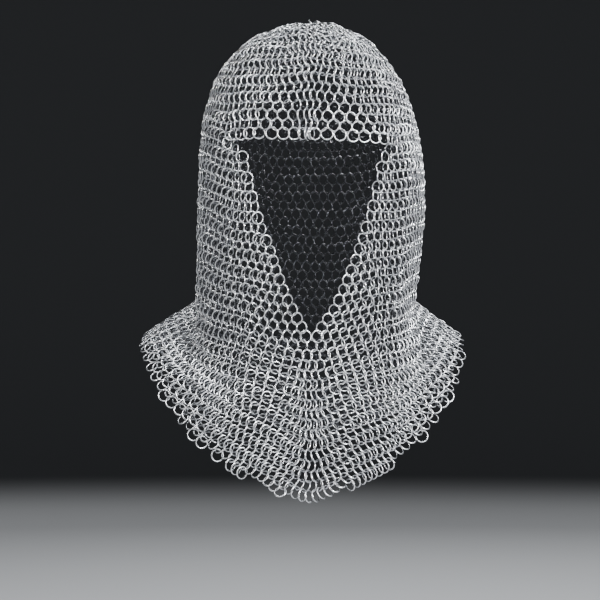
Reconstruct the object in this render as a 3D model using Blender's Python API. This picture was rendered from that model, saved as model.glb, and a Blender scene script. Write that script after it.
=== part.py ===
# A mail coif as it hangs when worn: crown, brow band, hood sides and back, and a mantle of four
# panels. Each panel is one wall as thick as hanging mail, lofted through the same body sections,
# and stands a seam's width from its neighbours. Millimetres in the tables, metres in the scene.
# +Z is up and the opening looks along -Y. The origin is the underside of the crown's top.
import bpy
import numpy as np

COIF = "mail_coif"
MM = 0.001
WALL = 4.0  # hanging mail, ring leaning on ring
SEAM = 0.3  # between one panel and the next
STEP = 0.01  # for slopes, in degrees round the coif or millimetres along it

# Lines that part the panels. A length runs down the middle of the front from the top of the crown.
CROWN_LENGTH = 106.0
BROW_LENGTH = 187.0
NOTCH_LENGTH = 374.0
HEM_LENGTH = 532.0
BROW_ANGLE = 37.5
BACK_ANGLE = 127.5
BIB_ANGLE = 60.0
SHOULDER_ANGLE = 120.0
ANGLE_STEP = 7.5

# Body sections: where the mail passes the front, the side and the back. The last four columns are
# how full the corners are, how far the corners sag in front and behind, and how far the whole
# section is pushed towards -X.
SECTION_COLUMNS = (
    "length", "half_width", "y_side", "z_side", "y_front", "z_front", "y_back", "z_back",
    "fullness", "front_sag", "back_sag", "push",
)
SECTIONS = (
    (0, 0, 0, 0, 0, 0, 0, 0, 0, 0, 0, 0),
    (44, 40, 0, -10, -43, -8, 47, -9, 0.015, 0, 0, 2),
    (73, 62, 0, -23, -69, -21, 75, -24, 0.03, 0, 0, 3),
    (106, 82, 0, -47, -92, -46, 98, -50, 0.05, 0, 0, 4),
    (135, 95, 0, -73, -103, -73, 110, -79, 0.08, 0, 0, 3),
    (161, 103, 0, -102, -108, -99, 115, -110, 0.11, 0, 0, 2),
    (187, 107, 0, -130, -110, -125, 116, -141, 0.13, 0, 0, 1),
    (238, 108, 1, -178, -111, -176, 114, -188, 0.15, 0, 0, 0),
    (302, 106, 2, -232, -112, -240, 110, -242, 0.15, -2, 0, 3),
    (362, 104, 4, -267, -110, -300, 110, -290, 0.15, -12, -4, 6),
    (381, 105, 5, -275, -111, -319, 111, -302, 0.14, -20, -7, 6),
    (407, 113, 6, -282, -113, -345, 115, -319, 0.13, -30, -10, 6),
    (450, 128, 6, -292, -120, -387, 123, -353, 0.12, -20, -8, 8),
    (493, 143, 5, -302, -127, -429, 131, -392, 0.11, -8, -5, 9),
    (532, 156, 4, -312, -133, -468, 138, -430, 0.1, 0, 0, 9),
)

# The face opening, from the brow band's edge down to the notch.
OPENING_COLUMNS = ("drop", "half_width", "middle")
OPENING = (
    (125, 66, 2),
    (140, 64, 3),
    (150, 62, 3),
    (170, 57, 3),
    (190, 52, 3),
    (209, 46, 3),
    (230, 38, 3),
    (242, 34, 2),
    (268, 24, 2),
    (291, 12.6, 1),
    (312, 0, -1),
)

# Soft folds: where each lies round the coif, where it starts and ends, how wide and how deep it is.
# A depth above zero stands out, one below zero is a trough. Each fades over a share of its run.
FOLD_FADE = 0.35
FOLDS = (
    (-82, 215, 400, 7, -2.4),
    (-66, 190, 430, 7, 2.4),
    (-46, 250, 420, 7, -1.8),
    (-31, 330, 500, 6, 1.8),
    (-17, 384, 470, 5, -2.2),
    (-6, 378, 520, 4, 2.0),
    (4, 378, 450, 4, -2.4),
    (14, 382, 505, 5, 2.4),
    (26, 390, 480, 5, -2.0),
    (41, 300, 440, 7, 1.6),
    (57, 200, 410, 7, -2.2),
    (75, 185, 420, 7, 2.6),
    (96, 220, 390, 8, -2.0),
    (-99, 200, 395, 8, 2.0),
    (118, 190, 470, 8, 2.6),
    (-121, 240, 450, 8, -2.4),
    (141, 230, 500, 8, -2.8),
    (-146, 170, 520, 9, 3.0),
    (166, 180, 530, 9, 3.0),
    (-170, 260, 480, 8, -2.6),
    (-74, 430, 560, 7, 2.6),
    (-47, 450, 560, 6, -2.2),
    (52, 440, 560, 7, 2.2),
    (80, 430, 560, 7, -2.4),
    (104, 435, 560, 8, 2.6),
    (-104, 440, 560, 8, -2.4),
)

# Lines along which the walls are built, from the top of the crown to the hem.
CROWN_LINES = (10, 22, 36, 52, 70, 88)
HOOD_LINES = (120, 134, 148, 161, 174)
FACE_LINES = (200, 216, 234, 252, 268, 284, 300, 316, 330, 343, 354, 363)
MANTLE_LINES = (382, 390, 398, 406, 415, 426, 440, 456, 474, 493, 512)

STEEL = (0.50, 0.51, 0.53, 1.0)
STEEL_ROUGHNESS = 0.36
SHARP_EDGE = 50  # degrees: the walls' rims stay crisp


def column(columns, table, name):
    """One named column of a table."""
    return np.array([row[columns.index(name)] for row in table], float)


def smooth(at, knots, values, first_slope=None):
    """A smooth curve through the values: cubic between knots, with each knot's slope the mean of
    its two neighbours' slopes, weighted by the shorter side."""
    gaps = np.diff(knots)
    rises = np.diff(values) / gaps
    inner = (rises[:-1] * gaps[1:] + rises[1:] * gaps[:-1]) / (gaps[:-1] + gaps[1:])
    start = rises[0] if first_slope is None else first_slope
    slopes = np.concatenate([[start], inner, [rises[-1]]])
    i = np.clip(np.searchsorted(knots, at, side="right") - 1, 0, len(gaps) - 1)
    t = (at - knots[i]) / gaps[i]
    held = values[i] * (1 + 2 * t) * (1 - t) ** 2 + values[i + 1] * (3 - 2 * t) * t**2
    return held + gaps[i] * (slopes[i] * t * (1 - t) ** 2 + slopes[i + 1] * (t - 1) * t**2)


def section(name, length, first_slope=None):
    """One measure of the body sections at any length down the coif."""
    knots = column(SECTION_COLUMNS, SECTIONS, "length")
    return smooth(length, knots, column(SECTION_COLUMNS, SECTIONS, name), first_slope)


def smooth_step(t):
    """0 before 0, 1 after 1 and a soft S between."""
    t = np.clip(t, 0, 1)
    return t * t * (3 - 2 * t)


def fold_depth(angle, length):
    """How far the folds push the mail out: a bell across each fold, faded in and out along it."""
    depth = np.zeros(np.broadcast(angle, length).shape)
    for middle, start, end, width, height in FOLDS:
        aside = (angle - middle + 180) % 360 - 180
        bell = np.exp(-((aside / width) ** 2))
        fade = FOLD_FADE * (end - start)
        depth += height * bell * smooth_step((length - start) / fade) * smooth_step((end - length) / fade)
    return depth


def bare(angle, length):
    """The middle of the wall without its folds. An oval whose corners are filled out by fullness:
    x = half_width sin a (1 + fullness sin2 2a), y = y_side + (y_front - y_side) cos a (the same),
    z = z_side + (z_front - z_side) cos2 a + sag sin2 2a, and behind with the back's measures."""
    a = np.radians(angle)
    across, ahead, corner = np.sin(a), np.cos(a), np.sin(2 * a) ** 2
    full = 1 + section("fullness", length) * corner
    front = ahead > 0
    z_side = section("z_side", length, 0)
    y_end = np.where(front, section("y_front", length, -1), section("y_back", length, 1))
    z_end = np.where(front, section("z_front", length, 0), section("z_back", length, 0))
    sag = np.where(front, section("front_sag", length), section("back_sag", length))
    y_side = section("y_side", length, 0)
    x = section("half_width", length, 1) * across * full - section("push", length) * across**2
    y = y_side + (y_end - y_side) * np.abs(ahead) * full
    z = z_side + (z_end - z_side) * ahead**2 + sag * corner + WALL / 2
    return np.stack(np.broadcast_arrays(x, y, z), -1)


def slopes(place, angle, length):
    """How the surface moves for one degree round and one millimetre along."""
    round_it = (place(angle + STEP, length) - place(angle - STEP, length)) / (2 * STEP)
    along = (place(angle, length + STEP) - place(angle, length - STEP)) / (2 * STEP)
    return round_it, along


def outward(place, angle, length):
    """The unit normal, out from the coif."""
    round_it, along = slopes(place, angle, length)
    normal = np.cross(along, round_it)
    return normal / np.linalg.norm(normal, axis=-1, keepdims=True)


def middle(angle, length):
    """The middle of the wall, folds and all."""
    lengths = np.maximum(length, 2 * STEP)
    return bare(angle, length) + fold_depth(angle, length)[..., None] * outward(bare, angle, lengths)


def walls(angle, length):
    """The wall's outer and inner points."""
    lengths = np.maximum(length, 3 * STEP)
    half = outward(middle, angle, lengths) * WALL / 2
    place = middle(angle, length)
    return place + half, place - half


def seam_shift(angle, length, along_it):
    """Half a seam's gap, square to the seam, in the surface's own degrees or millimetres."""
    round_it, along = slopes(middle, angle, length)
    patch = np.linalg.norm(np.cross(along, round_it), axis=-1)
    return SEAM / 2 * np.linalg.norm(round_it if along_it else along, axis=-1) / patch


def opening_angle(length, side):
    """Where the face opening's edge lies at a length, for the side at -X (-1) or +X (+1)."""
    drop = -section("z_front", length, 0)
    knots = column(OPENING_COLUMNS, OPENING, "drop")
    half = np.interp(drop, knots, column(OPENING_COLUMNS, OPENING, "half_width"))
    shift = side * np.interp(drop, knots, column(OPENING_COLUMNS, OPENING, "middle"))
    share = np.clip(half + shift, 0, None) / section("half_width", length)
    full = 1 + section("fullness", length) * np.sin(2 * np.arcsin(share)) ** 2
    return np.degrees(np.arcsin(share / full))


def metal(name):
    """Zinc-plated steel for one panel."""
    material = bpy.data.materials.new(name + "_steel")
    material.use_nodes = True
    shader = material.node_tree.nodes["Principled BSDF"]
    shader.inputs["Base Color"].default_value = STEEL
    shader.inputs["Metallic"].default_value = 1.0
    shader.inputs["Roughness"].default_value = STEEL_ROUGHNESS
    return material


def add_solid(name, points, faces, collection):
    """A mesh object in the coif's collection, from points in millimetres."""
    mesh = bpy.data.meshes.new(name)
    mesh.from_pydata((points * MM).tolist(), [], faces)
    mesh.validate()
    mesh.shade_smooth()
    mesh.set_sharp_from_angle(angle=np.radians(SHARP_EDGE))
    mesh.materials.append(metal(name))
    solid = bpy.data.objects.new(name, mesh)
    collection.objects.link(solid)
    return solid


def add_panel(name, angle, length, collection):
    """A wall over a grid of angles (columns) and lengths (rows), closed round its four edges."""
    rows, columns = angle.shape
    outer, inner = walls(angle, length)
    points = np.concatenate([outer.reshape(-1, 3), inner.reshape(-1, 3)])
    index = np.arange(rows * columns).reshape(rows, columns)
    under = index + rows * columns
    corners = (index[:-1, :-1], index[1:, :-1], index[1:, 1:], index[:-1, 1:])
    skin = np.stack(corners, -1).reshape(-1, 4)
    faces = skin.tolist() + (skin[:, ::-1] + rows * columns).tolist()
    for edge, edge_under in ((index[:, 0], under[:, 0]), (index[-1], under[-1])):
        faces += np.stack([edge[:-1], edge_under[:-1], edge_under[1:], edge[1:]], -1).tolist()
    for edge, edge_under in ((index[:, -1], under[:, -1]), (index[0], under[0])):
        faces += np.stack([edge[:-1], edge[1:], edge_under[1:], edge_under[:-1]], -1).tolist()
    return add_solid(name, points, faces, collection)


def panel_grid(front_edge, back_edge, columns, lines, top, bottom):
    """Angles and lengths of a panel between two edges. An edge is an angle, or an array with one
    angle a line. Seams at top and bottom are moved in by half a seam's gap."""
    lengths = np.array([top, *lines, bottom], float)
    share = np.linspace(0, 1, columns + 1)
    first = np.broadcast_to(np.asarray(front_edge, float), lengths.shape)[:, None]
    last = np.broadcast_to(np.asarray(back_edge, float), lengths.shape)[:, None]
    angle = first + (last - first) * share
    length = np.repeat(lengths[:, None], columns + 1, axis=1)
    length[0] += seam_shift(angle[0], length[0], True)
    if bottom < HEM_LENGTH:
        length[-1] -= seam_shift(angle[-1], length[-1], True)
    return angle, length


def drawn_in(angle, length):
    """The same grid with its first and last columns half a seam's gap further in."""
    moved = angle.copy()
    moved[:, 0] += seam_shift(angle[:, 0], length[:, 0], False)
    moved[:, -1] -= seam_shift(angle[:, -1], length[:, -1], False)
    return moved, length


def add_crown(collection):
    """The domed crown: rings of points round a point at the top."""
    columns = int(360 / ANGLE_STEP)
    lengths = np.array([*CROWN_LINES, CROWN_LENGTH])
    angle = np.tile(np.arange(columns) * ANGLE_STEP, (len(lengths), 1))
    length = np.repeat(lengths[:, None], columns, axis=1)
    length[-1] -= seam_shift(angle[-1], length[-1], True)
    outer, inner = walls(angle, length)
    top = np.array([[0, 0, WALL], [0, 0, 0]])
    points = np.concatenate([outer.reshape(-1, 3), inner.reshape(-1, 3), top])
    index = np.arange(length.size).reshape(length.shape)
    turned = np.roll(index, -1, axis=1)
    skin = np.stack([index[:-1], index[1:], turned[1:], turned[:-1]], -1).reshape(-1, 4)
    rim = np.stack([index[-1], index[-1] + length.size, turned[-1] + length.size, turned[-1]], -1)
    peak = np.full(columns, 2 * length.size)
    cap = np.stack([peak, index[0], turned[0]], -1)
    under = np.stack([peak + 1, turned[0] + length.size, index[0] + length.size], -1)
    faces = skin.tolist() + (skin[:, ::-1] + length.size).tolist()
    faces += rim.tolist() + cap.tolist() + under.tolist()
    return add_solid("crown", points, faces, collection)


def add_brow(collection):
    """The band between the crown and the face opening."""
    columns = int(2 * BROW_ANGLE / ANGLE_STEP)
    angle, length = panel_grid(-BROW_ANGLE, BROW_ANGLE, columns, HOOD_LINES, CROWN_LENGTH, BROW_LENGTH)
    return add_panel("brow_band", *drawn_in(angle, length), collection)


def add_hood_side(name, side, collection):
    """One side of the hood, from the brow band's end and the opening's edge round to the back."""
    lines = (*HOOD_LINES, BROW_LENGTH, *FACE_LINES)
    lengths = np.array([CROWN_LENGTH, *lines, NOTCH_LENGTH])
    open_at = np.minimum(opening_angle(lengths, side), BROW_ANGLE)
    edge = np.where(lengths <= BROW_LENGTH, BROW_ANGLE, open_at)
    columns = int(BACK_ANGLE / ANGLE_STEP)
    near, far = (edge, BACK_ANGLE) if side > 0 else (-BACK_ANGLE, -edge)
    angle, length = panel_grid(near, far, columns, lines, CROWN_LENGTH, NOTCH_LENGTH)
    return add_panel(name, *drawn_in(angle, length), collection)


def add_hood_back(collection):
    """The back of the hood."""
    columns = int((360 - 2 * BACK_ANGLE) / ANGLE_STEP)
    lines = (*HOOD_LINES, BROW_LENGTH, *FACE_LINES)
    angle, length = panel_grid(BACK_ANGLE, 360 - BACK_ANGLE, columns, lines, CROWN_LENGTH, NOTCH_LENGTH)
    return add_panel("hood_back", *drawn_in(angle, length), collection)


def add_mantle(name, first, last, collection):
    """A panel of the mantle, from the hood's lower edge to the hem."""
    columns = int(round((last - first) / ANGLE_STEP))
    angle, length = panel_grid(first, last, columns, MANTLE_LINES, NOTCH_LENGTH, HEM_LENGTH)
    return add_panel(name, *drawn_in(angle, length), collection)


def clear_scene():
    for old in list(bpy.data.objects):
        bpy.data.objects.remove(old, do_unlink=True)


clear_scene()
coif = bpy.data.collections.new(COIF)
bpy.context.scene.collection.children.link(coif)
add_crown(coif)
add_brow(coif)
add_hood_side("hood_left", 1, coif)
add_hood_side("hood_right", -1, coif)
add_hood_back(coif)
add_mantle("mantle_front", -BIB_ANGLE, BIB_ANGLE, coif)
add_mantle("mantle_left", BIB_ANGLE, SHOULDER_ANGLE, coif)
add_mantle("mantle_right", -SHOULDER_ANGLE, -BIB_ANGLE, coif)
add_mantle("mantle_back", SHOULDER_ANGLE, 360 - SHOULDER_ANGLE, coif)
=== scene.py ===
import math
import bpy
import numpy as np
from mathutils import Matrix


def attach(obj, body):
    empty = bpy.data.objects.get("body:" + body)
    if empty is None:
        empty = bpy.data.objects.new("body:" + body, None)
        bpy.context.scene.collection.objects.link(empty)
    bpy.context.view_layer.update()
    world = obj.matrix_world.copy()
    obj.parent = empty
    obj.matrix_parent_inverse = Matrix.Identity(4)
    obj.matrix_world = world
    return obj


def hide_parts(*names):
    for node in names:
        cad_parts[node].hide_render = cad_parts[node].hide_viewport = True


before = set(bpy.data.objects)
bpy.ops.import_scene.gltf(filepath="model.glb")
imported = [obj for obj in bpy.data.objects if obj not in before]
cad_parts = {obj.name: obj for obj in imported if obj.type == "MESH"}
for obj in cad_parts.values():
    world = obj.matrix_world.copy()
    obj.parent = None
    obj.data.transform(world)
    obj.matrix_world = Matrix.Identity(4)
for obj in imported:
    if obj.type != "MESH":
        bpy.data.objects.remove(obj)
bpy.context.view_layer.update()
millimetre = 0.001
print("frame loaded:", len(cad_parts), "nodes")

# the camera is level and straight on, 2.4 m in front of the hood
cameraSet = {
    "sensor": 36.0,
    "lens": 144.0,  # so that 1 mm at the hood's sides is one pixel of 600
    "place": (-0.011, -2.4, -0.276),
    "clip": (0.1, 60.0),
}
cameraData = bpy.data.cameras.new("photoCamera")
cameraData.sensor_width = cameraSet["sensor"]
cameraData.lens = cameraSet["lens"]
cameraData.clip_start, cameraData.clip_end = cameraSet["clip"]
camera = bpy.data.objects.new("photoCamera", cameraData)
camera.location = cameraSet["place"]
camera.rotation_euler = (math.radians(90), 0, 0)
bpy.context.scene.collection.objects.link(camera)
bpy.context.scene.camera = camera

# how the coif hangs: the same body sections as the solids, in millimetres and degrees round it.
# A length runs down the front from the top of the crown
hang = {
    # the last columns are the fullness of the corners, their sag in front and behind, and the
    # push towards -X
    "columns": (
        "length", "halfWidth", "ySide", "zSide", "yFront", "zFront", "yBack", "zBack",
        "fullness", "frontSag", "backSag", "push",
    ),
    "sections": (
        (0, 0, 0, 0, 0, 0, 0, 0, 0, 0, 0, 0),
        (44, 40, 0, -10, -43, -8, 47, -9, 0.015, 0, 0, 2),
        (73, 62, 0, -23, -69, -21, 75, -24, 0.03, 0, 0, 3),
        (106, 82, 0, -47, -92, -46, 98, -50, 0.05, 0, 0, 4),
        (135, 95, 0, -73, -103, -73, 110, -79, 0.08, 0, 0, 3),
        (161, 103, 0, -102, -108, -99, 115, -110, 0.11, 0, 0, 2),
        (187, 107, 0, -130, -110, -125, 116, -141, 0.13, 0, 0, 1),
        (238, 108, 1, -178, -111, -176, 114, -188, 0.15, 0, 0, 0),
        (302, 106, 2, -232, -112, -240, 110, -242, 0.15, -2, 0, 3),
        (362, 104, 4, -267, -110, -300, 110, -290, 0.15, -12, -4, 6),
        (381, 105, 5, -275, -111, -319, 111, -302, 0.14, -20, -7, 6),
        (407, 113, 6, -282, -113, -345, 115, -319, 0.13, -30, -10, 6),
        (450, 128, 6, -292, -120, -387, 123, -353, 0.12, -20, -8, 8),
        (493, 143, 5, -302, -127, -429, 131, -392, 0.11, -8, -5, 9),
        (532, 156, 4, -312, -133, -468, 138, -430, 0.1, 0, 0, 9),
    ),
    # drop, half width and middle of the face opening
    "opening": (
        (125, 66, 2), (140, 64, 3), (150, 62, 3), (170, 57, 3), (190, 52, 3), (209, 46, 3),
        (230, 38, 3), (242, 34, 2), (268, 24, 2), (291, 12.6, 1), (312, 0, -1),
    ),
    # angle, start, end, width and depth of each soft fold
    "folds": (
        (-82, 215, 400, 7, -2.4), (-66, 190, 430, 7, 2.4), (-46, 250, 420, 7, -1.8),
        (-31, 330, 500, 6, 1.8), (-17, 384, 470, 5, -2.2), (-6, 378, 520, 4, 2.0),
        (4, 378, 450, 4, -2.4), (14, 382, 505, 5, 2.4), (26, 390, 480, 5, -2.0),
        (41, 300, 440, 7, 1.6), (57, 200, 410, 7, -2.2), (75, 185, 420, 7, 2.6),
        (96, 220, 390, 8, -2.0), (-99, 200, 395, 8, 2.0), (118, 190, 470, 8, 2.6),
        (-121, 240, 450, 8, -2.4), (141, 230, 500, 8, -2.8), (-146, 170, 520, 9, 3.0),
        (166, 180, 530, 9, 3.0), (-170, 260, 480, 8, -2.6), (-74, 430, 560, 7, 2.6),
        (-47, 450, 560, 6, -2.2), (52, 440, 560, 7, 2.2), (80, 430, 560, 7, -2.4),
        (104, 435, 560, 8, 2.6), (-104, 440, 560, 8, -2.4),
    ),
    "foldFade": 0.35,  # share of a fold's run in which it rises and dies out
    # where the hood's side hangs in front of the shoulder: length and angle of the valley
    "valley": (
        (345, 100), (370, 82), (385, 71), (407, 62), (430, 56), (455, 52), (480, 50),
    ),
    "valleyDepth": ((345, 0), (370, 3), (390, 7), (425, 7), (450, 4), (478, 0)),
    "valleyLead": 2.0,  # degrees before its line at which it starts
    "valleyDrop": 5.0,  # degrees in which it reaches its depth
    "valleyWide": 16.0,  # degrees over which it rises again behind the hood's side
    "wall": 4.0,
    "step": 0.01,  # for slopes, in degrees or millimetres
}

ring = {
    "inside": 10.2,
    "wire": 1.4,
    "segments": 14,  # round the ring
    "sides": 5,  # round the wire
    "shade": 0.11,  # painted shade: how much darker the wire is painted for each millimetre it lies deeper in the mail
}

# the weave. A half column is half the step from one ring to the next in a row
weave = {
    "columns": 88,
    "sectors": 8,  # lines along which the crown gains rings
    "crownRows": 11,  # after these every row has all the columns
    "crownPace": 9.1,  # from row to row down the crown
    "browRow": 20,  # the last row above the face opening
    "notchRow": 41,  # the first whole row under the face opening
    "hemLength": 530.0,
    "tableEnd": 546.0,  # the rows are counted down to here
    "tight": 0.985,  # how near the rows hang to their furthest
    "crownTight": 0.955,
    "tightFrom": 100.0,
    "tightOver": 60.0,
    "pitchLimits": (3, 16),
    "inset": 1.2,  # ring centres inside the wall's middle, as the rings lean past it
    "crownInset": 3.2,  # more of it at the top of the crown
    "crownInsetOver": 130.0,
    "scatter": 0.2,  # unevenness of the places, ring by ring
    "seed": 7,
}

# where the rings of the brow and of the opening's edge stand
brow = {
    "length": 181.0,  # where that last row hangs
    "slant": 0.14,  # how much lower it hangs for each half column towards +X
    "from": 122.0,  # the rows are spread from here
    "over": 52.0,
    "away": 25.0,  # and no more this far below the last row
    "settleFrom": 40.0,  # the rows are drawn to the brow's from here
    "drawn": 26.0,  # half columns over which that fades round the hood
    "passOn": 12.0,  # columns over which the spread fades round the hood
    # half column and distance from the middle of the rings across the brow
    "spread": (
        (-21, -72), (-19, -69), (-17, -65.5), (-15, -60.8), (-13, -54.4), (-11, -47), (-9, -36),
        (-7, -25.5), (-5, -15.8), (-3, -8.4), (-1, -4), (1, -0.4), (3, 3.2), (5, 13.9), (7, 26),
        (9, 37.7), (11, 47.4), (13, 56.3), (15, 63.4), (17, 68.2), (19, 71.6), (21, 74.5),
    ),
}
edge = {
    "standoff": 5.5,  # from the opening's edge to the centre of its rings
    # half column and length of the rings along the opening's edge
    "rows": (
        (0, 384), (1, 375), (3, 358), (5, 340), (7, 321), (9, 303), (11, 283), (13, 261),
        (15, 241), (17, 222), (19, 202), (21, 181),
    ),
    # length and distance from column to column beside the edge
    "pitch": ((180, 5.2), (200, 4.6), (245, 5.0), (281, 6.3), (321, 7.9), (373, 9.6)),
    "relax": 3.0,  # columns in which that passes into the hood's own
    "drawn": 14.0,  # half columns over which the drawing of the rows fades round the hood
    "lead": 3.0,
    "leastSpan": 6.0,
}

# the mantle's distances from column to column, as pairs of length and distance
mantle = {
    "throat": ((373, 8.0), (384, 5.4), (400, 4.8), (440, 5.2), (532, 5.8)),
    "throatReach": ((373, 1.6), (390, 2.4), (420, 4.5), (470, 8.0), (532, 10.0)),  # in columns
    "bib": ((373, 9.8), (400, 9.2), (430, 8.0), (460, 7.2), (532, 7.0)),
    "shoulder": ((374, 7.0), (410, 9.0), (450, 12.2), (532, 13.4)),
    "shoulderFrom": 14,  # columns from the front's middle
    "shoulderOver": 6,
    "backFrom": 23,
    "backOver": 8,
    "from": 350.0,  # the hood's columns pass into the mantle's from this length
    "over": 90.0,
}
hood = {"from": 140.0, "over": 55.0}  # and the crown's even ones into the hood's

# share by which the rows stand closer, by length and by angle from the front's middle
bunch = {
    "angles": (0, 18, 30, 40, 52, 65, 90, 120, 160),
    "shares": (
        (0, 0, 0, 0, 0, 0.02, 0.05, 0.08, 0.06, 0),
        (180, 0, 0, 0, 0, 0.02, 0.05, 0.08, 0.06, 0),
        (200, 0, 0, 0, 0, 0.02, 0.05, 0.07, 0.05, 0),
        (265, 0, 0, 0, 0, 0.01, 0.02, 0.05, 0.05, 0),
        (285, 0, 0.02, 0.05, 0.10, 0.09, 0.06, 0.04, 0.03, 0),
        (374, 0, 0.08, 0.12, 0.12, 0.08, 0.04, 0.02, 0.02, 0),
        (378, 0, 0, 0, 0, 0, 0, 0, 0, 0),
    ),
}


def readTable(table, at):
    # straight lines between the pairs of a table
    knots, values = np.array(table, float).T
    return np.interp(at, knots, values)


def softStep(t):
    # 0 before 0, 1 after 1, 3 t squared less 2 t cubed between
    t = np.clip(t, 0, 1)
    return t * t * (3 - 2 * t)


def smooth(at, knots, values, firstSlope=None):
    # cubic between knots, each knot's slope the mean of its two neighbours' slopes
    gaps = np.diff(knots)
    rises = np.diff(values) / gaps
    inner = (rises[:-1] * gaps[1:] + rises[1:] * gaps[:-1]) / (gaps[:-1] + gaps[1:])
    start = rises[0] if firstSlope is None else firstSlope
    slopes = np.concatenate([[start], inner, [rises[-1]]])
    i = np.clip(np.searchsorted(knots, at, side="right") - 1, 0, len(gaps) - 1)
    t = (at - knots[i]) / gaps[i]
    held = values[i] * (1 + 2 * t) * (1 - t) ** 2 + values[i + 1] * (3 - 2 * t) * t**2
    return held + gaps[i] * (slopes[i] * t * (1 - t) ** 2 + slopes[i + 1] * (t - 1) * t**2)


sectionTable = np.array(hang["sections"], float)


def section(name, length, firstSlope=None):
    # one measure of the body sections at any length
    values = sectionTable[:, hang["columns"].index(name)]
    return smooth(length, sectionTable[:, 0], values, firstSlope)


def fromMiddle(angle):
    # degrees from the front's middle, above 0 towards +X
    return (angle + 180) % 360 - 180


def foldDepth(angle, length):
    # a bell across each fold, faded in and out along it
    depth = np.zeros(np.broadcast(angle, length).shape)
    for middle, start, end, width, height in hang["folds"]:
        fade = hang["foldFade"] * (end - start)
        along = softStep((length - start) / fade) * softStep((end - length) / fade)
        depth += height * np.exp(-((fromMiddle(angle - middle) / width) ** 2)) * along
    return depth


def valleyDepth(angle, length):
    # nothing up to the valley's line, then depth times a steep fall and a slow rise
    past = np.abs(fromMiddle(angle)) - readTable(hang["valley"], length)
    shape = softStep((past + hang["valleyLead"]) / hang["valleyDrop"])
    shape = shape * np.exp(-np.clip(past, 0, None) / hang["valleyWide"])
    return readTable(hang["valleyDepth"], length) * shape


def bareHang(angle, length):
    # an oval: x = half width * sin a * full, y and z run from the side's values to the front's
    # or back's by |cos a| and cos a squared, and the corners sag by sin 2a squared
    a = np.radians(angle)
    sideward, forward, corner = np.sin(a), np.cos(a), np.sin(2 * a) ** 2
    full = 1 + section("fullness", length) * corner
    front = forward > 0
    ySide, zSide = section("ySide", length, 0), section("zSide", length, 0)
    yEnd = np.where(front, section("yFront", length, -1), section("yBack", length, 1))
    zEnd = np.where(front, section("zFront", length, 0), section("zBack", length, 0))
    sag = np.where(front, section("frontSag", length), section("backSag", length))
    x = section("halfWidth", length, 1) * sideward * full - section("push", length) * sideward**2
    y = ySide + (yEnd - ySide) * np.abs(forward) * full
    z = zSide + (zEnd - zSide) * forward**2 + sag * corner + hang["wall"] / 2
    return np.stack(np.broadcast_arrays(x, y, z), -1)


def unit(v):
    return v / np.maximum(np.linalg.norm(v, axis=-1, keepdims=True), 1e-9)


def outward(place, angle, length):
    # unit normal out from the coif: the slope along crossed with the slope round
    step = hang["step"]
    roundIt = place(angle + step, length) - place(angle - step, length)
    alongIt = place(angle, length + step) - place(angle, length - step)
    return unit(np.cross(alongIt, roundIt))


def foldedHang(angle, length):
    # the bare hang moved along its normal by the folds and the valleys
    lengths = np.maximum(length, 2 * hang["step"])
    depth = foldDepth(angle, length) - valleyDepth(angle, length)
    return bareHang(angle, length) + depth[..., None] * outward(bareHang, angle, lengths)


def rowPitch(columnPitch, tight):
    # two linked rings stand at most their inside apart, so the rows stand apart by
    # the root of inside squared less half the column pitch squared
    across = np.clip(columnPitch, *weave["pitchLimits"]) / 2
    return tight * np.sqrt(ring["inside"] ** 2 - across**2)


def openingReach(length, side):
    # how far round the coif the opening's edge is, in degrees: the angle whose sine, with the
    # corner's fullness, gives the opening's half width
    drop = -section("zFront", length, 0)
    drops, halfWidths, middles = np.array(hang["opening"], float).T
    reach = np.interp(drop, drops, halfWidths) + side * np.interp(drop, drops, middles)
    share = np.clip(reach / section("halfWidth", length), 0, 0.99)
    full = 1 + section("fullness", length) * np.sin(2 * np.arcsin(share)) ** 2
    return np.degrees(np.arcsin(share / full))


def summed(v):
    # running sum at half columns, each step the mean of its two ends over half a column
    return np.concatenate([[0], np.cumsum((v[1:] + v[:-1]) / 4)])


def hoodPlaces(k, length, edgeReach, girth):
    # distance round the hood of each column k. Beside the opening the pitch is the edge's, and
    # it relaxes to the base pitch that closes the girth
    halfAt, lengthAt = np.array(edge["rows"], float).T
    first = np.interp(-length, -lengthAt, halfAt) / 2
    edgePlace = (edgeReach + edge["standoff"]) * min(1, 2 * first)
    pitch = readTable(edge["pitch"], length)
    beyond = np.clip(k - first, 0, None)
    gained = summed(1 - np.exp(-beyond / edge["relax"]))
    base = (girth - edgePlace - pitch * beyond[-1]) / gained[-1] + pitch
    inFront = edgePlace * k / max(first, 1e-6)
    return np.where(k < first, inFront, edgePlace + pitch * beyond + (base - pitch) * gained)


def mantlePlaces(k, length, girth):
    # distance round the mantle of each column k: the throat's pitch passes by a bell into the
    # bib's and then the shoulder's, and the back takes what is left of the girth
    bib = readTable(mantle["bib"], length)
    throat, reach = readTable(mantle["throat"], length), readTable(mantle["throatReach"], length)
    pitch = bib + (throat - bib) * np.exp(-((k / reach) ** 2))
    shoulder = readTable(mantle["shoulder"], length)
    toShoulder = softStep((k - mantle["shoulderFrom"]) / mantle["shoulderOver"])
    pitch = pitch + (shoulder - pitch) * toShoulder
    say = 1 - softStep((k - mantle["backFrom"]) / mantle["backOver"])
    wanted, rest = summed(pitch * say), summed(1 - say)
    return wanted + rest * (girth - wanted[-1]) / rest[-1]


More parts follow.
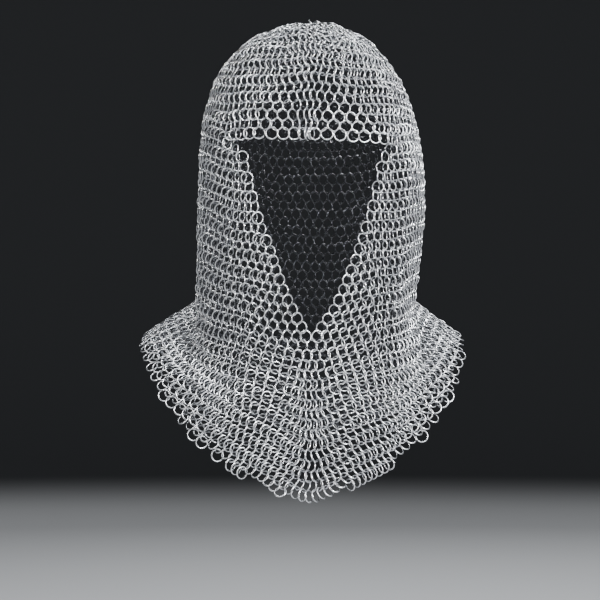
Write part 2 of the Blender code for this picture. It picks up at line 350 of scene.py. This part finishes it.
def columnAngles(lengths):
    # the angle of every half column at each length, from the distances round the coif and the
    # surface's own arc. The crown's columns are even, and the brow's stand as its table says
    halves = weave["columns"] + 1
    k = np.arange(halves) / 2
    even = k * 360 / weave["columns"]
    arcAngles = np.linspace(0, 180, 361)
    angles = np.zeros((len(lengths), 2 * weave["columns"]))
    browHalf, browPlace = np.array(brow["spread"], float).T
    browLast = int(browHalf[-1])
    passed = 1 - softStep((k - browLast / 2) / brow["passOn"])
    for side in (1, -1):
        points = bareHang(side * arcAngles[None, :], lengths[:, None])
        steps = np.linalg.norm(np.diff(points, axis=1), axis=2)
        arcs = np.concatenate([np.zeros((len(lengths), 1)), np.cumsum(steps, axis=1)], axis=1)
        reach = openingReach(lengths, side)
        columnHalf = np.arange(0, browLast + 1.0)
        columnPlace = np.interp(side * columnHalf, browHalf, browPlace) * side
        browX = np.interp(2 * k, columnHalf, columnPlace)
        for i, length in enumerate(lengths):
            girth = arcs[i, -1]
            edgeReach = np.interp(reach[i], arcAngles, arcs[i])
            onHood = hoodPlaces(k, length, edgeReach, girth)
            toMantle = softStep((length - mantle["from"]) / mantle["over"])
            placed = onHood * (1 - toMantle) + mantlePlaces(k, length, girth) * toMantle
            toHood = softStep((length - hood["from"]) / hood["over"])
            spread = even * (1 - toHood) + np.interp(placed, arcs[i], arcAngles) * toHood
            atBrow = softStep((length - brow["from"]) / brow["over"])
            atBrow = atBrow * (1 - softStep((length - brow["length"]) / brow["away"]))
            share = np.clip(browX / section("halfWidth", length), -1, 1)
            moved = np.degrees(np.arcsin(share)) - spread
            moved = np.where(k * 2 <= browLast, moved, moved[browLast] * passed)
            spread = spread + moved * atBrow
            if side > 0:
                angles[i, :halves] = spread
            else:
                angles[i, halves:] = 360 - spread[1:-1][::-1]
    return angles


print("laying out the weave")
halfColumns = 2 * weave["columns"]
lengths = np.arange(1.0, weave["tableEnd"], 1.0)
columnAngle = columnAngles(lengths)
tablePoints = foldedHang(columnAngle, lengths[:, None])
tablePitch = np.roll(tablePoints, -1, axis=1) - np.roll(tablePoints, 1, axis=1)
tablePitch = np.linalg.norm(tablePitch, axis=2)
girths = tablePitch.sum(axis=1) / 2


def looseRows():
    # rows passed by each length of every half column: steps along it over the row pitch, summed
    pace = weave["crownPace"]
    steps = np.linalg.norm(np.diff(tablePoints, axis=0), axis=2)
    crownPitch = girths / (weave["sectors"] * np.maximum(lengths / pace, 1))
    onCrown = lengths < pace * weave["crownRows"]
    pitch = np.where(onCrown[:, None], crownPitch[:, None], tablePitch)
    tight = softStep((lengths - weave["tightFrom"]) / weave["tightOver"])
    tight = weave["crownTight"] + (weave["tight"] - weave["crownTight"]) * tight
    offFront = np.minimum(columnAngle, 360 - columnAngle)
    at, *shares = np.array(bunch["shares"], float).T
    byLength = np.stack([np.interp(lengths, at, column) for column in shares], axis=1)
    slack = [np.interp(off, bunch["angles"], share) for off, share in zip(offFront, byLength)]
    perRow = rowPitch(pitch, tight[:, None]) * (1 - np.stack(slack))
    counted = np.cumsum(steps / perRow[:-1], axis=0)
    return np.concatenate([np.zeros((1, halfColumns)), counted]) + 1.0 / pace


def countAt(rowCount, where):
    # the row count of every half column at its own length
    return np.array([np.interp(where[h], lengths, rowCount[:, h]) for h in range(halfColumns)])


def drawnRows(rowCount):
    # the count is drawn to the brow's last row, and below it to the rings of the opening's edge.
    # What each column falls short by comes in softly along it, and fades round the hood
    halfAt, lengthAt = np.array(edge["rows"], float).T
    last = int(halfAt[-1])
    h = np.arange(halfColumns)
    aside = np.minimum(h, halfColumns - h)
    left = h < halfColumns / 2

    def faded(short, limit, over):
        corner = np.where(left, short[limit], short[-limit])
        fading = np.exp(-((np.clip(aside - limit, 0, None) / over) ** 2))
        return np.where(aside <= limit, short, corner * fading)

    browLength = brow["length"] + brow["slant"] * np.where(left, 1, -1) * np.minimum(aside, last)
    short = faded(weave["browRow"] - countAt(rowCount, browLength), last, brow["drawn"])
    share = (lengths[:, None] - brow["settleFrom"]) / (browLength - brow["settleFrom"])
    rowCount = rowCount + short * softStep(share)
    edgeLength = np.maximum(np.interp(aside, halfAt, lengthAt), browLength)
    short = weave["notchRow"] - aside - countAt(rowCount, edgeLength)
    short = faded(short, last - 2, edge["drawn"])
    span = np.maximum(edgeLength - browLength, edge["leastSpan"])
    share = (lengths[:, None] - browLength + edge["lead"]) / span
    return np.maximum.accumulate(rowCount + short * softStep(share), axis=0)


rowCount = drawnRows(looseRows())
topRow = int(rowCount[-1].max()) + 1
allRows = np.arange(topRow + 1)
rowLength = [np.interp(allRows, count, lengths, right=1e4) for count in rowCount.T]
rowLength = np.stack(rowLength, axis=1)


def ringPlaces():
    # row, half column, angle and length of every ring. The crown's rows gain a ring a sector,
    # and below it even rows stand half a column beside odd ones
    found = [np.array([[0, 0, 0, 1.0]])]
    for r in range(1, topRow + 1):
        if r < weave["crownRows"]:
            share = (np.arange(weave["sectors"] * r) + 0.5) / (weave["sectors"] * r)
            h = share * halfColumns
            at = np.interp(h, np.arange(halfColumns + 1), np.append(rowLength[r], rowLength[r, 0]))
            angle = share * 360
        else:
            column = np.arange((r + 1) % 2, halfColumns, 2)
            h = column.astype(float)
            at = rowLength[r, column]
            i = np.clip(np.searchsorted(lengths, at), 1, len(lengths) - 1)
            t = np.clip(at - lengths[i - 1], 0, 1)
            angle = columnAngle[i - 1, column] * (1 - t) + columnAngle[i, column] * t
        keep = at < weave["hemLength"]
        if r > weave["browRow"]:
            keep &= np.minimum(h, halfColumns - h) >= weave["notchRow"] - r
        found.append(np.stack([np.full(len(h), float(r)), h, angle, at], 1)[keep])
    return np.concatenate(found)


row, half, angle, length = ringPlaces().T
aside = np.minimum(half, halfColumns - half)  # half columns from the front's middle
print(len(row), "rings")

dice = np.random.default_rng(weave["seed"])
centre = foldedHang(angle, length)
normal = outward(foldedHang, angle, np.maximum(length, 2.0))
normal[0] = (0, 0, 1)

# which ring stands at each row and half column, -1 where none does
woven = row >= weave["crownRows"]
rowAt, halfAt = row.astype(int), half.astype(int)
ringAt = np.full((topRow + 3, halfColumns), -1)
ringAt[rowAt[woven], halfAt[woven]] = np.flatnonzero(woven)

settle = {
    "linked": (8.8, 10.1),  # mm between the centres of linked rings
    "beside": (4.6, 14.0),  # mm between the rings of a row
    "steps": 60,
    "haste": 1.2,
    "home": 0.09,  # share of the way back to where each ring was laid, a step
    "even": 0.12,  # share of the way to the middle of its row's and its column's neighbours
}


def neighbour(rowStep, halfStep):
    # the ring so many rows and half columns away from each ring, or -1
    found = ringAt[rowAt + rowStep, (halfAt + halfStep) % halfColumns]
    return np.where(woven, found, -1)


def pairs(rowStep, halfStep):
    other = neighbour(rowStep, halfStep)
    return np.flatnonzero(other >= 0), other[other >= 0]


def settled(home):
    # rings that stand too far apart draw together and crowded ones move off, half the fault each,
    # shared among a ring's pairs and kept within the surface, in many small steps
    lastHalf = edge["rows"][-1][0]
    held = (row <= weave["crownRows"]) | ((row == weave["browRow"]) & (aside <= lastHalf))
    beside = (row > weave["browRow"]) & (row <= weave["notchRow"])
    held |= beside & (aside < weave["notchRow"] - row + 1)
    kinds = (
        (pairs(1, 1), settle["linked"]),
        (pairs(1, -1), settle["linked"]),
        (pairs(0, 2), settle["beside"]),
    )
    evened = ((neighbour(0, 2), neighbour(0, -2)), (neighbour(2, 0), neighbour(-2, 0)))
    points = home
    for _ in range(settle["steps"]):
        move = np.zeros_like(points)
        shared = np.ones(len(points))
        for (one, two), (near, far) in kinds:
            between = points[two] - points[one]
            apart = np.linalg.norm(between, axis=1)
            fault = apart - np.clip(apart, near, far)
            push = between * (0.5 * fault / apart)[:, None]
            np.add.at(move, one, push)
            np.add.at(move, two, -push)
            np.add.at(shared, one, fault != 0)
            np.add.at(shared, two, fault != 0)
        move = move / shared[:, None] * settle["haste"] + settle["home"] * (home - points)
        for one, two in evened:
            both = (one >= 0) & (two >= 0)
            mean = (points[one] + points[two]) / 2
            move += np.where(both[:, None], settle["even"] * (mean - points), 0)
        move -= (move * normal).sum(1, keepdims=True) * normal
        move[held] = 0
        points = points + move
    return points


centre = settled(centre)
for halfStep in (1, -1):
    one, two = pairs(1, halfStep)
    apart = np.linalg.norm(centre[two] - centre[one], axis=1)
    print("linked rings stand apart by", np.percentile(apart, (5, 50, 95)).round(1), "mm")

# how the rings lean round their column, by turns one way and the other from row to row
tilt = {
    "start": 86.0,  # degrees, less so many for each millimetre from ring to ring
    "perMillimetre": 5.8,
    "least": 14.0,
    "most": 54.0,
    "byLength": ((70, 0.6), (150, 1), (370, 1), (420, 0.86)),  # share of it at each length
    "brow": ((4, 1.0), (8, 0.3)),  # share of it on the last row of the brow, by the pitch
    "edge": 0.75,  # and on the rings of the opening's edge
    "edgeReach": 1.5,  # half columns that count as the edge
    "tip": -9.0,  # how far the mantle's rings tip, lower end out
    "tipFrom": 360.0,
    "tipOver": 60.0,
    "wander": ((60, 9.0), (150, 2.5)),  # unevenness ring by ring
    "levelStep": 1.5,  # degrees round the crown for the direction of a row
}
drift = {
    "waves": 14, "shortest": 26.0, "longest": 90.0,
    "shift": 0.5,  # mm
    "lean": 4.5,  # degrees
    "byLength": ((100, 1.7), (185, 1.0)),  # the crown lies less evenly than the rest
}


def rowDirection():
    # the next ring's place less the last one's, or the surface's own direction on the crown,
    # and the distance from ring to ring
    after, before = neighbour(0, 2), neighbour(0, -2)
    nextPlace = np.where((after >= 0)[:, None], centre[after], centre)
    lastPlace = np.where((before >= 0)[:, None], centre[before], centre)
    sides = (after >= 0).astype(float) + (before >= 0)
    step = tilt["levelStep"]
    level = foldedHang(angle + step, length) - foldedHang(angle - step, length)
    way = np.where((sides == 0)[:, None], level, nextPlace - lastPlace)
    way[0] = (1, 0, 0)
    crownGap = np.interp(length, lengths, girths) / (weave["sectors"] * np.maximum(row, 1))
    gap = np.where(woven, np.linalg.norm(way, axis=1) / np.maximum(sides, 1), crownGap)
    return unit(way - (way * normal).sum(1, keepdims=True) * normal), gap


def drifting(points):
    # a soft seeded unevenness: sine waves through space, summed, three kinds of it
    ways = unit(dice.normal(0, 1, (3, drift["waves"], 3)))
    waves = 2 * np.pi / dice.uniform(drift["shortest"], drift["longest"], (3, drift["waves"]))
    starts = dice.uniform(0, 2 * np.pi, (3, drift["waves"]))
    phase = np.einsum("nx,fwx->fnw", points, ways * waves[..., None]) + starts[:, None, :]
    return np.sin(phase).sum(-1) * math.sqrt(2 / drift["waves"])


def leanOf(gap):
    # degrees: less the wider the rings stand, and signed by the row
    lean = np.clip(tilt["start"] - tilt["perMillimetre"] * gap, tilt["least"], tilt["most"])
    atBrow = (row == weave["browRow"]) & (aside < edge["rows"][-1][0])
    atEdge = (row > weave["browRow"]) & (row < weave["notchRow"])
    atEdge &= aside - (weave["notchRow"] - row) < tilt["edgeReach"]
    lean = np.where(atBrow, lean * readTable(tilt["brow"], gap), lean)
    lean = np.where(atEdge, lean * tilt["edge"], lean) * readTable(tilt["byLength"], length)
    lean = np.where(row % 2 == 0, -lean, lean)
    lean[0] = 0
    return lean


def turned(v, axis, by):
    # v turned round a unit axis
    c, s = np.cos(by)[:, None], np.sin(by)[:, None]
    return v * c + np.cross(axis, v) * s + axis * (axis * v).sum(1, keepdims=True) * (1 - c)


tangent, spacing = rowDirection()
down = np.cross(tangent, normal)  # along the column, down the coif
shiftAcross, shiftDown, shiftLean = drifting(centre)
lean = leanOf(spacing)
wander = dice.normal(0, 1, (len(row), 3)) * readTable(tilt["wander"], length)[:, None]
restless = readTable(drift["byLength"], length)
lean = np.radians(lean + wander[:, 0] + drift["lean"] * restless * shiftLean * np.sign(lean))
mantleShare = softStep((length - tilt["tipFrom"]) / tilt["tipOver"])
tip = np.radians(wander[:, 1] + tilt["tip"] * mantleShare)
inset = weave["inset"] + weave["crownInset"] * (1 - softStep(length / weave["crownInsetOver"]))
centre = centre + dice.normal(0, weave["scatter"], (len(row), 3)) - inset[:, None] * normal
moved = shiftAcross[:, None] * tangent + shiftDown[:, None] * down
centre = centre + (drift["shift"] * restless)[:, None] * moved
across = turned(tangent, down, lean)
along = turned(down, across, tip)
facing = turned(turned(normal, down, lean), across, tip)
ringStart = dice.uniform(0, 2 * np.pi, len(row))
ringTone = dice.uniform(0, 1, len(row))
print("rings laid and leaned")


def ringMesh(name, chosen, material):
    # every ring is a torus: centre + (radius + wire cos w) * (across cos t + along sin t)
    # + wire sin w * facing. outFace is how far its skin faces out, plus its height in the mail;
    # it sets the painted shade, darker on wire that faces inward or lies deep in the mail
    radius, thick = (ring["inside"] + ring["wire"]) / 2, ring["wire"] / 2
    n, m, s = len(chosen), ring["segments"], ring["sides"]
    t = ringStart[chosen][:, None, None] + np.arange(m)[None, :, None] * 2 * np.pi / m
    w = (np.arange(s) * 2 * np.pi / s)[None, None, :, None]
    spoke = across[chosen, None, :] * np.cos(t) + along[chosen, None, :] * np.sin(t)
    spoke = spoke[:, :, None, :]
    axle = facing[chosen, None, None, :]
    middle = centre[chosen, None, None, :]
    points = middle + spoke * (radius + thick * np.cos(w)) + axle * (thick * np.sin(w))
    skin = spoke * np.cos(w) + axle * np.sin(w)
    away = normal[chosen, None, None, :]
    outFace = (skin * away).sum(-1) + ring["shade"] * ((points - middle) * away).sum(-1)

    index = np.arange(n * m * s).reshape(n, m, s)
    nextT, nextW = np.roll(index, -1, axis=1), np.roll(index, -1, axis=2)
    faces = np.stack([index, nextT, np.roll(nextT, -1, axis=2), nextW], -1).reshape(-1, 4)
    u = np.arange(m)[:, None] / m + np.zeros((m, s))
    v = np.arange(s)[None, :] / s + np.zeros((m, s))
    corners = ((u, v), (u + 1 / m, v), (u + 1 / m, v + 1 / s), (u, v + 1 / s))
    corners = np.stack([np.stack(pair, -1) for pair in corners], axis=2)
    uvs = np.broadcast_to(corners, (n, m, s, 4, 2)).reshape(-1)

    mesh = bpy.data.meshes.new(name)
    mesh.vertices.add(n * m * s)
    mesh.vertices.foreach_set("co", (points * millimetre).reshape(-1))
    mesh.loops.add(len(faces) * 4)
    mesh.loops.foreach_set("vertex_index", faces.reshape(-1))
    mesh.polygons.add(len(faces))
    mesh.polygons.foreach_set("loop_start", np.arange(len(faces)) * 4)
    mesh.uv_layers.new(name="wire").data.foreach_set("uv", uvs)
    tone = mesh.attributes.new("tone", "FLOAT", "POINT")
    tone.data.foreach_set("value", np.repeat(ringTone[chosen], m * s))
    face = mesh.attributes.new("outFace", "FLOAT", "POINT")
    face.data.foreach_set("value", outFace.reshape(-1))
    mesh.update(calc_edges=True)
    mesh.shade_smooth()
    mesh.materials.append(material)
    piece = bpy.data.objects.new(name, mesh)
    bpy.context.scene.collection.objects.link(piece)
    return piece


# zinc-plated wire: bright where it is rubbed, clouded in places, with painted shade that darkens
# wire facing inward or lying deep in the mail
zincSet = {
    "bright": (0.86, 0.87, 0.89, 1.0),
    "dull": (0.42, 0.435, 0.465, 1.0),
    # painted shade: the near-black colour of wire that faces inward or lies deep in the mail
    "paintedShade": (0.045, 0.047, 0.055, 1.0),
    "seam": (0.02, 0.02, 0.024, 1.0),  # the butted ends of the wire
    "cloud": {"scale": 55.0, "detail": 3.0, "range": (0.35, 0.72), "most": 0.75},
    "grain": {"scale": 900.0, "detail": 2.0, "range": (0.3, 0.7)},
    "ringToRing": (0.35, 1.0),  # how much of the cloud the brightest and dullest rings take
    "outward": (-0.1, 0.75),  # outFace at which the painted shade is full and gone
    "shadeStrength": 0.96,
    "seamAt": (0.488, 0.496),  # share of a turn from the ring's far side
    "seamDark": 0.85,
    "roughness": (0.20, 0.36),
    "dullRough": 0.16,
    "bump": 0.35,
    "bumpHeight": 0.00015,
    "seamDepth": 2.0,
}


def zincWire():
    material = bpy.data.materials.new("zincWire")
    material.use_nodes = True
    nodes, links = material.node_tree.nodes, material.node_tree.links
    shader = nodes["Principled BSDF"]
    shader.inputs["Metallic"].default_value = 1.0

    def add(kind, **settings):
        node = nodes.new(kind)
        for key, value in settings.items():
            setattr(node, key, value)
        return node

    def feed(value, socket):
        # a number or colour is set, anything else is linked
        if isinstance(value, (int, float, tuple)):
            socket.default_value = value
        else:
            links.new(value, socket)

    def noise(source, scale, detail):
        node = add("ShaderNodeTexNoise")
        feed(scale, node.inputs["Scale"])
        feed(detail, node.inputs["Detail"])
        feed(source, node.inputs["Vector"])
        return node.outputs["Fac"]

    def spanned(source, limits, results):
        # a soft step from the first result to the second between the limits
        node = add("ShaderNodeMapRange", interpolation_type="SMOOTHSTEP")
        for name, value in zip(("From Min", "From Max", "To Min", "To Max"), limits + results):
            feed(value, node.inputs[name])
        feed(source, node.inputs["Value"])
        return node.outputs["Result"]

    def worked(kind, first, second):
        node = add("ShaderNodeMath", operation=kind)
        feed(first, node.inputs[0])
        feed(second, node.inputs[1])
        return node.outputs[0]

    def mixed(share, first, second):
        node = add("ShaderNodeMix", data_type="RGBA")
        feed(share, node.inputs["Factor"])
        colours = [socket for socket in node.inputs if socket.type == "RGBA"]
        feed(first, colours[0])
        feed(second, colours[1])
        return [socket for socket in node.outputs if socket.type == "RGBA"][0]

    place = add("ShaderNodeTexCoord").outputs["Object"]
    tone = add("ShaderNodeAttribute", attribute_name="tone").outputs["Fac"]
    face = add("ShaderNodeAttribute", attribute_name="outFace").outputs["Fac"]
    wire = add("ShaderNodeSeparateXYZ")
    feed(add("ShaderNodeUVMap", uv_map="wire").outputs["UV"], wire.inputs[0])

    cloudSet, grainSet = zincSet["cloud"], zincSet["grain"]
    cloud = noise(place, cloudSet["scale"], cloudSet["detail"])
    grain = noise(place, grainSet["scale"], grainSet["detail"])
    clouded = spanned(cloud, cloudSet["range"], (0.0, cloudSet["most"]))
    dulled = worked("MULTIPLY", clouded, spanned(tone, (0.2, 1.0), zincSet["ringToRing"]))
    # painted shade: the share by which inward-facing and deep wire is darkened
    shadeShare = worked("MULTIPLY", spanned(face, zincSet["outward"], (1.0, 0.0)), zincSet["shadeStrength"])
    fromSeam = worked("ABSOLUTE", worked("SUBTRACT", wire.outputs["X"], 0.5), 0.0)
    seam = spanned(fromSeam, zincSet["seamAt"], (0.0, zincSet["seamDark"]))
    body = mixed(dulled, zincSet["bright"], zincSet["dull"])
    # the painted shade is mixed into the wire's colour here
    body = mixed(shadeShare, body, zincSet["paintedShade"])
    feed(mixed(seam, body, zincSet["seam"]), shader.inputs["Base Color"])
    grained = spanned(grain, grainSet["range"], zincSet["roughness"])
    rough = worked("ADD", grained, worked("MULTIPLY", dulled, zincSet["dullRough"]))
    feed(rough, shader.inputs["Roughness"])
    bump = add("ShaderNodeBump")
    feed(zincSet["bump"], bump.inputs["Strength"])
    feed(zincSet["bumpHeight"], bump.inputs["Distance"])
    seamCut = worked("MULTIPLY", seam, zincSet["seamDepth"])
    feed(worked("SUBTRACT", grain, seamCut), bump.inputs["Height"])
    feed(bump.outputs["Normal"], shader.inputs["Normal"])
    return material


# the panels, how each is held, and the lines that part them
panels = {
    "crown": "stretched",
    "brow_band": "hung",
    "hood_left": "hung",
    "hood_right": "hung",
    "hood_back": "hung",
    "mantle_front": "draped",
    "mantle_left": "draped",
    "mantle_right": "draped",
    "mantle_back": "draped",
}
seams = {
    "crown": 106.0, "brow": 187.0, "notch": 374.0,  # lengths
    "browAngle": 37.5, "backAngle": 127.5, "bibAngle": 60.0, "shoulderAngle": 120.0,
}


def panelMasks():
    # which rings each panel takes
    off, left = np.abs(fromMiddle(angle)), fromMiddle(angle) > 0
    onCrown = length < seams["crown"]
    onMantle = length >= seams["notch"]
    onHood = ~onCrown & ~onMantle
    onBrow = onHood & (length < seams["brow"]) & (off < seams["browAngle"])
    hoodBack = onHood & (off > seams["backAngle"])
    hoodSide = onHood & ~onBrow & ~hoodBack
    bib = onMantle & (off < seams["bibAngle"])
    mantleBack = onMantle & (off > seams["shoulderAngle"])
    shoulder = onMantle & ~bib & ~mantleBack
    return {
        "crown": onCrown, "brow_band": onBrow,
        "hood_left": hoodSide & left, "hood_right": hoodSide & ~left, "hood_back": hoodBack,
        "mantle_front": bib, "mantle_left": shoulder & left,
        "mantle_right": shoulder & ~left, "mantle_back": mantleBack,
    }


zinc = zincWire()
masks = panelMasks()
for name, held in panels.items():
    chosen = np.flatnonzero(masks[name])
    piece = ringMesh(name + "_mail", chosen, zinc)
    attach(piece, "root")
    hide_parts(name)

# a pale floor that curves up to a plain dark wall all round, so that the bright rings read
stageSet = {
    "floor": -0.80,
    "flatTo": 3.2,
    "wallAt": 5.2,
    "top": 4.5,
    "rings": (0.4, 1.2, 2.2),
    "turns": 72,
    "bends": 13,
    "pale": (0.50, 0.505, 0.515, 1.0),
    "wall": (0.045, 0.047, 0.050, 1.0),
    "darkBy": 0.08,  # height over the floor at which the wall's colour is reached
    "roughness": 0.9,
    "specular": 0.1,
}


def studioPaper():
    # the floor's colour passes into the wall's by height
    material = bpy.data.materials.new("studioPaper")
    material.use_nodes = True
    nodes, links = material.node_tree.nodes, material.node_tree.links
    shader = nodes["Principled BSDF"]
    shader.inputs["Roughness"].default_value = stageSet["roughness"]
    shader.inputs["Specular IOR Level"].default_value = stageSet["specular"]
    parts = nodes.new("ShaderNodeSeparateXYZ")
    links.new(nodes.new("ShaderNodeTexCoord").outputs["Object"], parts.inputs[0])
    ramp = nodes.new("ShaderNodeMapRange")
    ramp.interpolation_type = "SMOOTHSTEP"
    ramp.inputs["From Min"].default_value = stageSet["floor"]
    ramp.inputs["From Max"].default_value = stageSet["floor"] + stageSet["darkBy"]
    links.new(parts.outputs["Z"], ramp.inputs["Value"])
    mix = nodes.new("ShaderNodeMix")
    mix.data_type = "RGBA"
    links.new(ramp.outputs["Result"], mix.inputs["Factor"])
    colours = [socket for socket in mix.inputs if socket.type == "RGBA"]
    colours[0].default_value, colours[1].default_value = stageSet["pale"], stageSet["wall"]
    result = [socket for socket in mix.outputs if socket.type == "RGBA"][0]
    links.new(result, shader.inputs["Base Color"])
    return material


def studioBowl():
    # a profile turned about the middle: flat, a quarter round, and a wall
    turn = np.linspace(0, 2 * np.pi, stageSet["turns"] + 1)[:-1]
    bend = np.linspace(0, np.pi / 2, stageSet["bends"])
    size = stageSet["wallAt"] - stageSet["flatTo"]
    curve = stageSet["flatTo"] + size * np.sin(bend)
    out = np.concatenate([stageSet["rings"], curve, [stageSet["wallAt"]]])
    up = np.concatenate([[0, 0, 0], size * (1 - np.cos(bend)), [stageSet["top"]]])
    x, y = out[:, None] * np.cos(turn), out[:, None] * np.sin(turn)
    z = np.broadcast_to((up + stageSet["floor"])[:, None], x.shape)
    points = np.stack([x, y, z], -1).reshape(-1, 3)
    index = np.arange(x.size).reshape(x.shape)
    nextTurn = np.roll(index, -1, axis=1)
    faces = np.stack([index[:-1], nextTurn[:-1], nextTurn[1:], index[1:]], -1)
    faces = faces[:, :, ::-1].reshape(-1, 4).tolist() + [index[0].tolist()]
    mesh = bpy.data.meshes.new("studioBowl")
    mesh.from_pydata(points.tolist(), [], faces)
    mesh.shade_smooth()
    mesh.materials.append(studioPaper())
    bowl = bpy.data.objects.new("studioBowl", mesh)
    bpy.context.scene.collection.objects.link(bowl)


studioBowl()

lights = {
    "keyLeft": {
        "place": (-1.5, -2.1, 1.0), "size": 0.6, "power": 50.0, "colour": (1.0, 0.99, 0.97),
    },
    "keyRight": {
        "place": (1.7, -1.8, 0.7), "size": 0.6, "power": 142.0, "colour": (0.97, 0.985, 1.0),
    },
    "top": {
        "place": (0.1, -0.5, 1.9), "size": 1.1, "power": 40.0, "colour": (0.93, 0.965, 1.0),
    },
    "behind": {
        "place": (0.3, 2.3, 1.3), "size": 1.0, "power": 36.0, "colour": (0.95, 0.975, 1.0),
    },
}
lightTarget = (0, 0, -0.22)
air = {"colour": (0.55, 0.58, 0.63, 1.0), "strength": 0.06}


def aim(place, target):
    # the turn that points a lamp's -Z at the target
    way = np.array(target, float) - np.array(place, float)
    level = math.hypot(way[0], way[1])
    return (math.atan2(level, -way[2]), 0.0, math.atan2(way[1], way[0]) - math.pi / 2)


for name, lamp in lights.items():
    data = bpy.data.lights.new(name, "AREA")
    data.shape, data.size = "DISK", lamp["size"]
    data.energy, data.color = lamp["power"], lamp["colour"]
    made = bpy.data.objects.new(name, data)
    made.location = lamp["place"]
    made.rotation_euler = aim(lamp["place"], lightTarget)
    bpy.context.scene.collection.objects.link(made)

world = bpy.data.worlds.new("studioAir")
world.use_nodes = True
background = world.node_tree.nodes["Background"]
background.inputs["Color"].default_value = air["colour"]
background.inputs["Strength"].default_value = air["strength"]
bpy.context.scene.world = world
print("stage and lights set")
